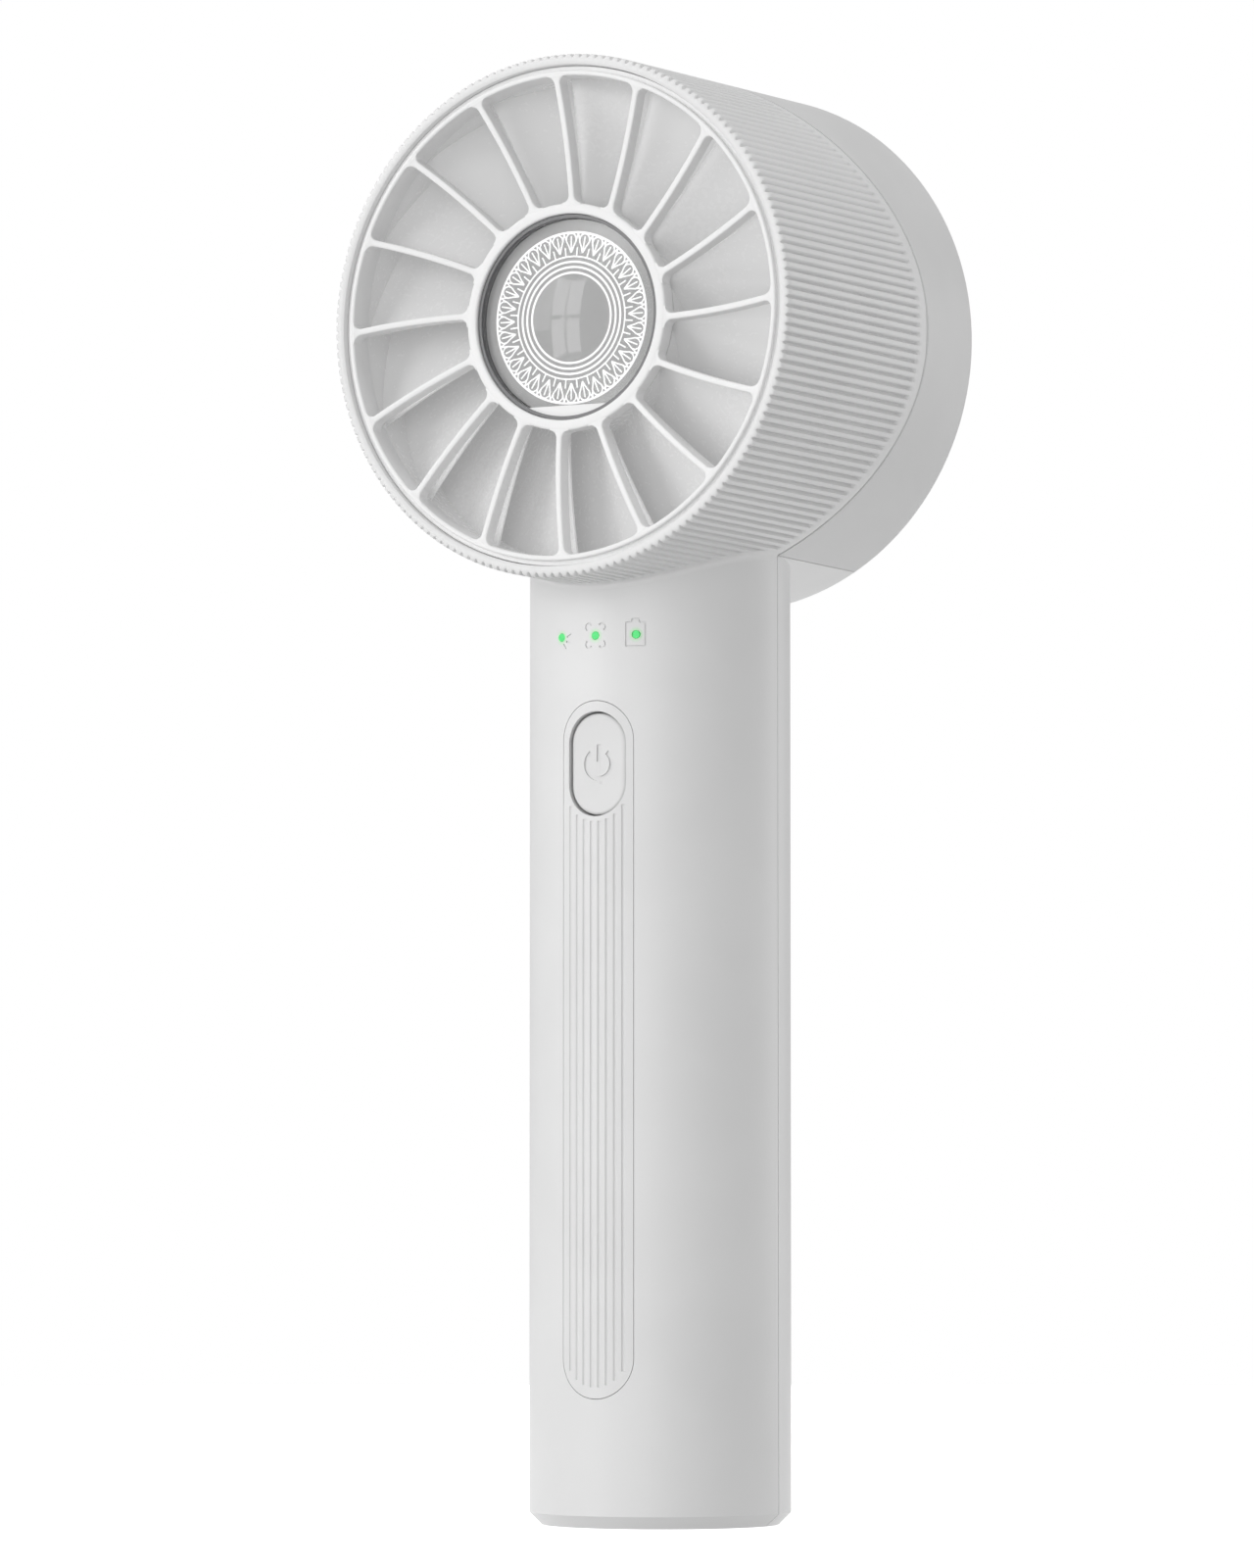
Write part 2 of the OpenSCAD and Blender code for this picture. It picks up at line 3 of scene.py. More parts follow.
import bmesh
import bpy
import numpy as np
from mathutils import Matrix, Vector


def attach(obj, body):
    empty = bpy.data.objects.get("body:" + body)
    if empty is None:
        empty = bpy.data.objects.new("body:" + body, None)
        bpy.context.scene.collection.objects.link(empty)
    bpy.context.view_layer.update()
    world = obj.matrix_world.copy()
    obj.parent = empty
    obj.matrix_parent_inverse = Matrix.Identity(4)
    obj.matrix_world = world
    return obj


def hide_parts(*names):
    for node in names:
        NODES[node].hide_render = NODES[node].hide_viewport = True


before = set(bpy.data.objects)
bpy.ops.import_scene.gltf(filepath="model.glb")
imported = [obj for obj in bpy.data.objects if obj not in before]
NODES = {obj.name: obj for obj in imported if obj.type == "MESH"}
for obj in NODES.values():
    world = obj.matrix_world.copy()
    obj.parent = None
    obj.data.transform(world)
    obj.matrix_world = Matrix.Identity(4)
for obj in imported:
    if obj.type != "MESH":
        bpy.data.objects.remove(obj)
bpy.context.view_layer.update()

# ---------- the fan's sizes, in millimetres ----------

MM = 0.001
HEAD_Z = 182.0                  # height of the fan's axis
RIM_Y = -31.4                   # front rim of the barrel
RIM_R, REAR_R = 39.5, 40.5      # over the ribs, at the front rim and at the rear rim
TAPER_Y0, TAPER_Y1 = -30.6, 25.8        # where the taper between those two radii starts and ends
BORE_R, DUCT_R, SLEEVE_R = 37.8, 37.0, 38.3     # insides of the front casing, from front to back
LEDGE_Y = -12.5                 # the bore's ledge, which the guide vanes rest on
SIDE_X = 40.3                   # half width of the barrel where the parting meets its side
PARTING_R = 64.0                # curved parting between the front and rear casings
PARTING_Y = 12.0 + math.sqrt(PARTING_R ** 2 - SIDE_X ** 2)      # centre of that curve
HANDLE_R = 20.0
RIB_COUNT = 180
RIB_DEPTH = 0.62
PARTING_GAP = 0.5               # how far the barrel stops short of the rear casing
RIB_MARGIN = 1.9                # smooth band between the ribs' ends and the parting
ROOT_MARGIN = 1.2               # smooth band round the handle's root
GRILLE_Y, GRILLE_BACK = -31.2, -26.9    # front and rear faces of the grille's rim
GRILLE_R, HUB_R, HUB_BORE = 36.2, 17.2, 15.6    # inside of the rim, outside and inside of the hub ring
FITTED_R = 37.7                 # outside of the grille and of the vane carrier, in the bore
DISH = 2.0                      # how far the hub ring sits behind the rim
HUB_RING_BACK = -26.6
SPOKE_COUNT, SPOKE_W, SPOKE_DEPTH = 16, 1.0, 2.3
SPOKE_SWEEP, SPOKE_TURN = 4.5, 0.9      # degrees from rim to hub, and of the whole wheel
FLARE_R = 1.2                   # fillets where a spoke meets the rim and the hub ring
BUTTON_HALF_W, BUTTON_HALF_H, BUTTON_Z = 4.7, 7.7, 115.1
BUTTON_R = 19.65                # radius of the button's face about the handle's axis
BUTTON_BACK = -16.6             # rear of the button's cap
SIGN_FRONT, SIGN_FLOOR = -25.0, -18.75  # the cut that sinks a sign into the button
LED_Z, LED_ANGLE = 134.5, 18.8  # height of the indicators, and degrees between them
VANE_COUNT, VANE_SWEEP = 16, -56.0      # degrees that a vane turns from front to back
VANE_FRONT, VANE_BACK = -26.25, LEDGE_Y - 0.15
BLADE_COUNT, BLADE_SWEEP = 11, 44.0
DISC_Y = -27.3                  # front face of the ornament disc


# ---------- finishes ----------

class Thread:
    """The output of one shader node, usable in Python sums."""

    def __init__(self, finish, socket):
        self.finish = finish
        self.socket = socket

    def sum(self, operation, *values):
        return self.finish.node("Math", {"operation": operation}, *values)

    def __add__(self, other):
        return self.sum("ADD", self, other)

    def __radd__(self, other):
        return self.sum("ADD", other, self)

    def __sub__(self, other):
        return self.sum("SUBTRACT", self, other)

    def __rsub__(self, other):
        return self.sum("SUBTRACT", other, self)

    def __mul__(self, other):
        return self.sum("MULTIPLY", self, other)

    def __rmul__(self, other):
        return self.sum("MULTIPLY", other, self)

    def __truediv__(self, other):
        return self.sum("DIVIDE", self, other)

    def __pow__(self, other):
        return self.sum("POWER", self, other)

    def largest(self, other):
        return self.sum("MAXIMUM", self, other)

    def smallest(self, other):
        return self.sum("MINIMUM", self, other)

    def zigzag(self, reach):
        """Runs from 0 up to reach and back, over and over."""
        return self.sum("PINGPONG", self, reach)

    def between(self, low, high):
        """0 below low, 1 above high and smooth in between."""
        settings = {"interpolation_type": "SMOOTHSTEP"}
        return self.finish.node("MapRange", settings, self, low, high, 0.0, 1.0)


class Finish:
    """A material that is put together from shader nodes. Its lengths are in millimetres."""

    def __init__(self, name):
        self.material = bpy.data.materials.new(name)
        self.material.use_nodes = True
        self.tree = self.material.node_tree
        self.tree.nodes.clear()
        metres = self.node("TexCoord", out="Object")
        self.place = self.node("VectorMath", {"operation": "SCALE"}, metres, Scale=1000.0)

    def node(self, kind, settings=None, *values, out=0, **named):
        """Adds one node: its settings first, then its sockets' values or links, by order or by name.

        A socket whose value is None stays as it is.
        """
        node = self.tree.nodes.new("ShaderNode" + kind)
        for key, value in (settings or {}).items():
            setattr(node, key, value)
        for key, value in enumerate(values):
            if value is not None:
                self.put(node.inputs[key], value)
        for key, value in named.items():
            self.put(node.inputs[key.replace("_", " ")], value)
        return Thread(self, node.outputs[out])

    def put(self, socket, value):
        """Links a socket to a thread, or sets its constant."""
        if isinstance(value, Thread):
            self.tree.links.new(value.socket, socket)
        elif isinstance(value, tuple) and socket.type == "RGBA":
            socket.default_value = (*value, 1.0)
        else:
            socket.default_value = value

    def noise(self, per_mm, detail=2.0, rough=0.5, at=None):
        return self.node("TexNoise", None, Vector=at or self.place, Scale=per_mm, Detail=detail,
                         Roughness=rough)

    def mix(self, share, first, second):
        """A colour between two colours."""
        # a mix node's five sockets between the share and the colours are for other kinds of value
        return self.node("Mix", {"data_type": "RGBA"}, share, *[None] * 5, first, second, out=2)

    def along(self, axis):
        """The coordinate along X, Y or Z, in millimetres."""
        return self.node("SeparateXYZ", None, self.place, out=axis)

    def bump(self, height, depth_mm):
        return self.node("Bump", None, Strength=1.0, Distance=depth_mm * MM, Height=height)

    def principled(self, **sockets):
        return self.node("BsdfPrincipled", None, **sockets)

    def done(self, shader):
        output = self.tree.nodes.new("ShaderNodeOutputMaterial")
        self.tree.links.new(shader.socket, output.inputs["Surface"])
        return self.material


def moulded(name, tint, rough=0.42, grain=2.6, grain_depth=0.012, cloud=0.03, painted_light=None, coat=0.0,
            painted_glow=0.0):
    """Moulded plastic with a fine eroded grain and a faint cloudiness.

    The painted glow is painted light: the plastic gives off light in its own colour, though it is no lamp,
    and so lifts its shade.
    """
    finish = Finish(name)
    fine = finish.noise(grain, 3.0, 0.6)
    wide = finish.noise(0.06, 2.0)
    dark = tuple(c * (1.0 - cloud) for c in tint)
    colour = finish.mix(wide.between(0.3, 0.7), dark, tint)
    colour = finish.mix(fine.between(0.35, 0.75) * 0.25, colour, dark)
    # painted light: this hook paints light into the colour, as light_spill does
    if painted_light:
        colour = painted_light(finish, colour)
    roughness = rough + (fine - 0.5) * 0.14 + (wide - 0.5) * 0.06
    # painted light: the emission that the painted glow sets makes the plastic shine though it is no lamp
    return finish.done(finish.principled(Base_Color=colour, Roughness=roughness, IOR=1.47, Coat_Weight=coat,
                                         Coat_Roughness=0.12, Normal=finish.bump(fine, grain_depth),
                                         Emission_Color=colour, Emission_Strength=painted_glow))


def light_spill(finish, colour):
    """Paints the indicators' pale green light into the casing's colour round each lit indicator: a painted
    pool of light.
    """
    spill = None
    for side in (-1, 0, 1):
        angle = math.radians(side * LED_ANGLE)
        lamp = (HANDLE_R * math.sin(angle), -HANDLE_R * math.cos(angle), LED_Z)
        far = finish.node("VectorMath", {"operation": "DISTANCE"}, finish.place, lamp, out="Value")
        near = 1.0 - far.between(0.55, 1.35)
        spill = near if spill is None else spill.largest(near)
    # painted light: pale green mixed into the colour where the indicators' light falls
    return finish.mix(spill * 0.6, colour, (0.42, 0.86, 0.42))


def metal(name, tint, rough, per_mm=1.5, drawn=(1.0, 1.0, 1.0)):
    """Metal with fine scratches, drawn along one axis where it was rolled or turned."""
    finish = Finish(name)
    stretch = finish.node("VectorMath", {"operation": "MULTIPLY"}, finish.place, drawn)
    lines = finish.noise(per_mm, 4.0, 0.65, stretch)
    spots = finish.noise(0.35, 3.0)
    dark = tuple(c * 0.72 for c in tint)
    colour = finish.mix(spots.between(0.42, 0.72) * 0.48, tint, dark)
    roughness = rough + (lines - 0.5) * 0.2 + spots.between(0.5, 0.8) * 0.1
    return finish.done(finish.principled(Base_Color=colour, Metallic=1.0, Roughness=roughness,
                                         Normal=finish.bump(lines, 0.004)))


def laminated(name):
    """Stacked electrical sheet: thin dark joints between bright sheets along the axis."""
    finish = Finish(name)
    sheet = finish.along("Y").zigzag(0.25)
    joint = 1.0 - sheet.between(0.02, 0.07)
    stain = finish.noise(0.8, 3.0)
    colour = finish.mix(stain, (0.36, 0.37, 0.4), (0.5, 0.5, 0.52))
    colour = finish.mix(joint * 0.8, colour, (0.08, 0.08, 0.09))
    return finish.done(finish.principled(Base_Color=colour, Metallic=1.0, Roughness=0.35 + stain * 0.2,
                                         Normal=finish.bump(1.0 - joint, 0.02)))


def wound(name):
    """Enamelled copper wire, wound turn beside turn, each turn painted darker at its sides and brighter
    along its crest.
    """
    finish = Finish(name)
    x, z = finish.along("X"), finish.along("Z")
    from_axis = (x * x + (z - HEAD_Z) ** 2.0) ** 0.5
    wire_r = 0.17
    wire = from_axis.zigzag(wire_r) / wire_r
    wear = finish.noise(1.2, 3.0)
    # painted shade and highlight: dark where the turns meet, bright along each turn's crest
    colour = finish.mix(wire, (0.32, 0.1, 0.03), (0.86, 0.4, 0.16))
    colour = finish.mix(wear * 0.3, colour, (0.55, 0.2, 0.07))
    return finish.done(finish.principled(Base_Color=colour, Metallic=0.9, Roughness=0.22 + wear * 0.15,
                                         Normal=finish.bump(wire, 0.12)))


def printed_board(name):
    """Green solder mask over copper tracks, with bright pads and a faint weave."""
    finish = Finish(name)
    track = finish.along("X").zigzag(0.9)
    bend = finish.node("TexVoronoi", {"feature": "DISTANCE_TO_EDGE"}, Vector=finish.place, Scale=0.45)
    copper = 1.0 - bend.between(0.03, 0.09)
    pads = finish.node("TexVoronoi", None, Vector=finish.place, Scale=0.62)
    tinned = 1.0 - pads.between(0.1, 0.16)
    weave = finish.noise(5.0, 2.0)
    colour = finish.mix(weave * 0.4 + track * 0.2, (0.015, 0.11, 0.05), (0.03, 0.19, 0.09))
    colour = finish.mix(copper * 0.6, colour, (0.07, 0.33, 0.14))
    colour = finish.mix(tinned, colour, (0.72, 0.7, 0.64))
    return finish.done(finish.principled(Base_Color=colour, Metallic=tinned, Roughness=0.3 + weave * 0.15,
                                         Normal=finish.bump(copper + tinned, 0.03)))


def cell_sleeve(name):
    """The shrunk sleeve of the cell, slightly wrinkled, with grey ends."""
    finish = Finish(name)
    wrinkle = finish.noise(0.5, 4.0, 0.6)
    cell_middle = 63.0
    ends = (finish.along("Z") - cell_middle) ** 2.0
    colour = finish.mix(wrinkle, (0.03, 0.13, 0.3), (0.05, 0.2, 0.42))
    colour = finish.mix(ends.between(1080.0, 1160.0), colour, (0.3, 0.31, 0.33))
    return finish.done(finish.principled(Base_Color=colour, Roughness=0.28 + wrinkle * 0.2,
                                         Normal=finish.bump(wrinkle, 0.06)))


def clear_plastic(name):
    """Clear lens: what is behind shows through, and its face carries the room's lights."""
    finish = Finish(name)
    haze = finish.noise(0.4, 3.0)
    facing = finish.node("LayerWeight", None, Blend=0.35, out="Fresnel")
    gloss = finish.node("BsdfGlossy", None, Color=(1.0, 1.0, 1.0), Roughness=0.05 + haze * 0.03)
    through = finish.node("BsdfTransparent", None, (0.98, 0.98, 0.98))
    share = (facing * 0.06 + 0.03).smallest(0.4)
    return finish.done(finish.node("MixShader", None, share, through, gloss))


def lit_plastic(name):
    """A cloudy light guide that is lit from behind."""
    finish = Finish(name)
    cloud = finish.noise(2.5, 2.0)
    colour = finish.mix(cloud, (0.02, 0.5, 0.1), (0.05, 0.68, 0.16))
    return finish.done(finish.principled(Base_Color=colour, Roughness=0.25 + cloud * 0.1,
                                         Emission_Color=colour, Emission_Strength=0.3))


def ink(name):
    """White ink, which covers slightly unevenly, with a painted glow that brightens it though it is no lamp.
    """
    finish = Finish(name)
    film = finish.noise(4.0, 2.0)
    colour = finish.mix(film, (0.9, 0.9, 0.9), (0.98, 0.98, 0.98))
    # painted light: the ink gives off light of its own colour
    return finish.done(finish.principled(Base_Color=colour, Roughness=0.45 + film * 0.1,
                                         Emission_Color=colour, Emission_Strength=0.25))


def plain_floor(name):
    """A pale floor, lit so evenly that it has no horizon."""
    finish = Finish(name)
    cloud = finish.noise(0.01, 2.0)
    colour = finish.mix(cloud, (0.86, 0.86, 0.86), (0.88, 0.88, 0.88))
    return finish.done(finish.principled(Base_Color=colour, Roughness=0.8,
                                         Emission_Color=(1.0, 1.0, 1.0), Emission_Strength=0.8))


def white_backdrop(name):
    """Even white, without any shading."""
    finish = Finish(name)
    return finish.done(finish.node("Emission", None, (1.0, 1.0, 1.0), 1.0))


# ---------- mesh makers ----------

def unit(v):
    """The vector's direction, with length 1."""
    return v / np.linalg.norm(v)


def rounded(corners, radius=0.2, steps=4):
    """A closed outline whose corners are arcs. A corner's third number, if it has one, is its own radius."""
    outline = []
    for i, corner in enumerate(corners):
        p = np.array(corner[:2], float)
        before = unit(np.array(corners[i - 1][:2], float) - p)
        after = unit(np.array(corners[(i + 1) % len(corners)][:2], float) - p)
        r = corner[2] if len(corner) > 2 else radius
        if r == 0:
            outline.append(tuple(p))
            continue
        half = math.acos(max(-1.0, min(1.0, float(before @ after)))) / 2
        centre = p + unit(before + after) * r / math.sin(half)
        start = p + before * r / math.tan(half) - centre
        end = p + after * r / math.tan(half) - centre
        for k in range(steps + 1):
            t = k / steps
            bow = unit(start * (1 - t) + end * t) * r
            outline.append(tuple(centre + bow))
    return outline


def around(count):
    """Evenly spaced angles, once round a circle."""
    return np.linspace(0, 2 * math.pi, count + 1)[:-1]


def section(u0, u1, v0, v1):
    """Corners of a rectangle, such as a ring's section in (radius, y)."""
    return [(u0, v0), (u1, v0), (u1, v1), (u0, v1)]


def loop_faces(rows, columns, close_rows=True, close_columns=True):
    """Quads of a grid whose points are stored row by row."""
    faces = []
    for i in range(rows if close_rows else rows - 1):
        for j in range(columns if close_columns else columns - 1):
            a, b = i * columns, ((i + 1) % rows) * columns
            k = (j + 1) % columns
            faces.append((a + j, a + k, b + k, b + j))
    return faces


def turned(profile, steps=160):
    """A closed profile of (radius, y), turned about the fan's axis."""
    points = []
    for k in range(steps):
        a = 2 * math.pi * k / steps
        points += [(r * math.sin(a), y, HEAD_Z + r * math.cos(a)) for r, y in profile]
    return points, loop_faces(steps, len(profile))


def lofted(sections):
    """A closed bar through cross-sections that have the same number of points each."""
    count = len(sections[0])
    points = [p for section in sections for p in section]
    faces = loop_faces(len(sections), count, close_rows=False)
    last = (len(sections) - 1) * count
    faces.append(tuple(range(count)))
    faces.append(tuple(reversed(range(last, last + count))))
    return points, faces


def prism(outline, y0, y1):
    """An outline of (x, z), extruded along Y."""
    return lofted([[(x, y, z) for x, z in outline] for y in (y0, y1)])


def raw(name, shells):
    """An object from shells, each a list of points in millimetres and a list of faces."""
    points, faces = [], []
    for some_points, some_faces in shells:
        base = len(points)
        points += [(x * MM, y * MM, z * MM) for x, y, z in some_points]
        faces += [tuple(base + i for i in face) for face in some_faces]
    mesh = bpy.data.meshes.new(name)
    mesh.from_pydata(points, [], faces)
    work = bmesh.new()
    work.from_mesh(mesh)
    bmesh.ops.recalc_face_normals(work, faces=work.faces)
    work.to_mesh(mesh)
    work.free()
    thing = bpy.data.objects.new(name, mesh)
    bpy.context.scene.collection.objects.link(thing)
    return thing


def finished(thing, material, body, replaced=(), crease=32.0):
    """Gives a piece its shading, its finish, and its place in the frame."""
    mesh = thing.data
    mesh.shade_smooth()
    mesh.set_sharp_from_angle(angle=math.radians(crease))
    mesh.materials.clear()
    mesh.materials.append(material)
    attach(thing, body)
    if replaced:
        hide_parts(*replaced)


def shape_by(thing, cutter, operation):
    """Applies a boolean with a closed cutter, which is then removed."""
    step = thing.modifiers.new("shape", "BOOLEAN")
    step.operation = operation
    step.solver = "EXACT"
    step.object = cutter
    bpy.context.view_layer.update()
    shaped = bpy.data.meshes.new_from_object(thing.evaluated_get(bpy.context.evaluated_depsgraph_get()))
    thing.modifiers.clear()
    spent = thing.data
    thing.data = shaped
    bpy.data.meshes.remove(spent)
    used = cutter.data
    bpy.data.objects.remove(cutter)
    bpy.data.meshes.remove(used)


def copied(node, name):
    """A welded copy of a CAD node's mesh, as the blank of a piece that replaces it."""
    mesh = NODES[node].data
    points = [tuple(v.co / MM) for v in mesh.vertices]
    thing = raw(name, [(points, [tuple(p.vertices) for p in mesh.polygons])])
    work = bmesh.new()
    work.from_mesh(thing.data)
    bmesh.ops.remove_doubles(work, verts=work.verts, dist=1e-6)
    bmesh.ops.recalc_face_normals(work, faces=work.faces)
    work.to_mesh(thing.data)
    work.free()
    return thing


def true_cylinder_shading(thing):
    """Lets each face that lies on a cylinder about the handle's axis shade as that cylinder."""
    mesh = thing.data
    mesh.shade_smooth()
    mesh.set_sharp_from_angle(angle=math.radians(25.0))
    normals = [Vector(n.vector) for n in mesh.corner_normals]
    for face in mesh.polygons:
        out = Vector((face.center.x, face.center.y, 0.0)).normalized()
        facing = face.normal.dot(out)
        if abs(facing) < 0.985 or abs(face.normal.z) > 0.02:
            continue
        for corner in face.loop_indices:
            p = mesh.vertices[mesh.loops[corner].vertex_index].co
            normals[corner] = Vector((p.x, p.y, 0.0)).normalized() * (1 if facing > 0 else -1)
    mesh.normals_split_custom_set(normals)


# ---------- front casing: ribbed barrel, handle front, root fillet ----------

def barrel_r(y):
    """Radius over the ribs."""
    return RIM_R + (REAR_R - RIM_R) * (y - TAPER_Y0) / (TAPER_Y1 - TAPER_Y0)


def parting_at(x):
    """Where the parting between the casings lies along Y, at a place across the barrel."""
    return PARTING_Y - math.sqrt(PARTING_R ** 2 - x * x)


def smooth_step(t):
    """0 up to t = 0, 1 from t = 1 and smooth in between."""
    t = max(0.0, min(1.0, t))
    return t * t * (3 - 2 * t)


def ribbed_barrel():
    """The barrel. Narrow grooves between its ribs stop short of the parting and of the handle."""
    # place across one rib, and how deep the groove is there
    across = ((0.0, 0.0), (0.14, 0.0), (0.28, 0.0), (0.42, 0.0), (0.52, 0.12), (0.62, 0.8), (0.75, 1.0),
              (0.88, 0.8), (0.98, 0.12))
    # rows behind the front rim, rows ahead of the grooves' rear ends, and the steps between them
    front = (0.0, 0.06, 0.16, 0.32, 0.5, 0.72, 0.95, 1.3)
    rear = (0.95, 0.6, 0.42, 0.28, 0.14, 0.0)
    middle = 9
    round_end, run_out, bevel, lip = 0.95, 0.62, 0.16, 0.12
    points = []
    for rib in range(RIB_COUNT):
        for place, depth in across:
            angle = 2 * math.pi * (rib + place) / RIB_COUNT
            sx, cz = math.sin(angle), math.cos(angle)
            x = REAR_R * sx
            seam = parting_at(min(abs(x), SIDE_X)) - PARTING_GAP
            stop = seam - RIB_MARGIN
            root = HANDLE_R + ROOT_MARGIN
            if cz < 0 and abs(x) < root:
                stop = min(stop, -math.sqrt(root ** 2 - x * x))
            rows = [RIM_Y + f for f in front]
            first, last = RIM_Y + front[-1], stop - rear[0]
            rows += [first + (last - first) * k / middle for k in range(1, middle)]
            rows += [stop - d for d in rear]
            rows += [stop + (seam - stop) * 0.5, seam - lip, seam]
            profile = []
            for y in rows:
                off_front, off_stop = y - RIM_Y, stop - y
                end = 1 - math.sqrt(1 - (1 - min(off_front / round_end, 1.0)) ** 2)
                fade = smooth_step(off_stop / run_out)
                cut = RIB_DEPTH * max(depth * fade, end)
                edge = 0.14 * (1 - min(off_front / bevel, 1.0)) + (0.03 if y == seam else 0.0)
                profile.append((barrel_r(y) - cut - edge, y))
            profile += [(SLEEVE_R, seam), (SLEEVE_R, LEDGE_Y + 1.0), (DUCT_R, LEDGE_Y + 1.0),
                        (DUCT_R, LEDGE_Y), (BORE_R, LEDGE_Y), (BORE_R, RIM_Y + lip), (BORE_R + lip, RIM_Y)]
            points += [(r * sx, y, HEAD_Z + r * cz) for r, y in profile]
    return points, loop_faces(RIB_COUNT * len(across), len(profile))


def root_fillet():
    """The small fillet where the handle's front grows out of the barrel."""
    leg, steps, stations = 0.9, 5, 96
    sections = []
    for k in range(stations + 1):
        angle = math.radians(-91.0 + 182.0 * k / stations)
        sx, cy = math.sin(angle), -math.cos(angle)

        def barrel_point(out):
            x, y = (HANDLE_R + out) * sx, (HANDLE_R + out) * cy
            return np.array((x, y, HEAD_Z - math.sqrt(barrel_r(y) ** 2 - x * x)))

        corner = barrel_point(0.0)
        handle_end = corner - np.array((0.0, 0.0, leg))
        barrel_end = barrel_point(leg)
        bow = []
        for i in range(steps + 1):
            t = i / steps
            bow.append(tuple(handle_end * (1 - t) ** 2 + corner * 2 * t * (1 - t) + barrel_end * t * t))
        # one point inside the plastic closes the section
        sections.append(bow + [tuple(corner + np.array((-0.6 * sx, -0.6 * cy, 0.5)))])
    return lofted(sections)


def on_handle(s, z, r):
    """A point at arc length s from the handle's front line."""
    a = s / HANDLE_R
    return (r * math.sin(a), -r * math.cos(a), z)


def stroke(path, width=0.26, depth=0.2):
    """A closed cutter for one engraved stroke, along (arc length, height) points on the handle's face."""
    sections = []
    for i, (s, z) in enumerate(path):
        s0, z0 = path[max(i - 1, 0)]
        s1, z1 = path[min(i + 1, len(path) - 1)]
        length = math.hypot(s1 - s0, z1 - z0)
        ns, nz = -(z1 - z0) / length * width / 2, (s1 - s0) / length * width / 2
        high, low = HANDLE_R + 0.3, HANDLE_R - depth
        sections.append([on_handle(s + ns, z + nz, high), on_handle(s - ns, z - nz, high),
                         on_handle(s - ns, z - nz, low), on_handle(s + ns, z + nz, low)])
    return lofted(sections)


def arc_path(s, z, r, start, end, steps=10):
    """Points of an arc round (s, z), from one angle in degrees to another."""
    angles = [math.radians(start + (end - start) * k / steps) for k in range(steps + 1)]
    return [(s + r * math.cos(a), z + r * math.sin(a)) for a in angles]


def indicator_signs():
    """Engraved signs round the indicators: three puffs of air, a four-petal fan and a battery."""
    gap = HANDLE_R * math.radians(LED_ANGLE)
    strokes = []
    for turn in (-50, -15, 20):
        a = math.radians(turn - 20)
        strokes.append([(-gap + 1.1 * math.cos(a), LED_Z + 1.1 * math.sin(a)),
                        (-gap + 2.0 * math.cos(a + 0.2), LED_Z + 2.0 * math.sin(a + 0.2))])
    for side_s, side_z, start in ((1, 1, -60), (-1, 1, 30), (-1, -1, 120), (1, -1, 210)):
        strokes.append(arc_path(side_s * 1.15, LED_Z + side_z * 1.3, 0.55, start, start + 210))
    left, right, low, high = gap - 1.55, gap + 1.45, LED_Z - 1.75, LED_Z + 1.85
    strokes += [[(left, low), (left, high)], [(right, low), (right, high)],
                [(left, low), (right, low)], [(left, high), (gap - 0.65, high)],
                [(gap + 0.6, high), (right, high)],
                [(gap - 0.6, high), (gap - 0.6, high + 0.5), (gap + 0.55, high + 0.5), (gap + 0.55, high)]]
    return [stroke(path) for path in strokes]


def front_casing(material):
    """The handle's front from the CAD blank, a ribbed barrel of its own and the fillet between them."""
    handle = copied("front_housing", "front_casing_handle")
    column_r, core_r = 20.02, 38.6
    column = [(column_r * math.cos(a), column_r * math.sin(a)) for a in around(128)]
    keep = raw("column", [lofted([[(x, y, z) for x, y in column] for z in (-1.0, 158.0)])])
    shape_by(handle, keep, "INTERSECT")
    core = [(core_r * math.sin(a), core_r * math.cos(a) + HEAD_Z) for a in around(180)]
    shape_by(handle, raw("core", [prism(core, -50.0, 50.0)]), "DIFFERENCE")
    for sign in indicator_signs():
        shape_by(handle, raw("sign", [sign]), "DIFFERENCE")
    finished(handle, material, "housing", ["front_housing"])
    true_cylinder_shading(handle)
    barrel = raw("front_casing_barrel", [ribbed_barrel()])
    finished(barrel, material, "housing", ["front_housing"], crease=50.0)
    fillet = raw("front_casing_fillet", [root_fillet()])
    finished(fillet, material, "housing", ["front_housing"], crease=60.0)


# ---------- grille ----------

def spoke_half_width(r):
    """Half a spoke's width, which grows towards the rim and the hub ring."""
    def flare(d):
        return 0.0 if d >= FLARE_R else FLARE_R - math.sqrt(max(FLARE_R ** 2 - (FLARE_R - d) ** 2, 0.0))
    return SPOKE_W / 2 + flare(max(r - HUB_R, 0.0)) + flare(max(GRILLE_R - r, 0.0))


def spoke(k):
    """One swept spoke with rounded front edges, which flares into the rim and the hub ring."""
    start, end = HUB_R - 0.5, GRILLE_R + 0.5
    near = [0.0, 0.5, 0.55, 0.65, 0.8, 1.0, 1.25, 1.5, 1.8]
    stations = [start + d for d in near]
    stations += list(np.linspace(start + 2.6, end - 2.6, 14))
    stations += [end - d for d in reversed(near)]
    sections = []
    for r in stations:
        share = (GRILLE_R - max(min(r, GRILLE_R), HUB_R)) / (GRILLE_R - HUB_R)
        angle = math.radians(360 / SPOKE_COUNT * k + SPOKE_TURN - SPOKE_SWEEP * share)
        front = GRILLE_Y + DISH * share + 0.03
        half, edge = spoke_half_width(r), 0.24
        outline = rounded([(-half, front, edge), (half, front, edge), (half, front + SPOKE_DEPTH, 0.0),
                           (-half, front + SPOKE_DEPTH, 0.0)], steps=3)
        ca, sa = math.cos(angle), math.sin(angle)
        sections.append([(r * ca - t * sa, y, HEAD_Z + r * sa + t * ca) for t, y in outline])
    return lofted(sections)


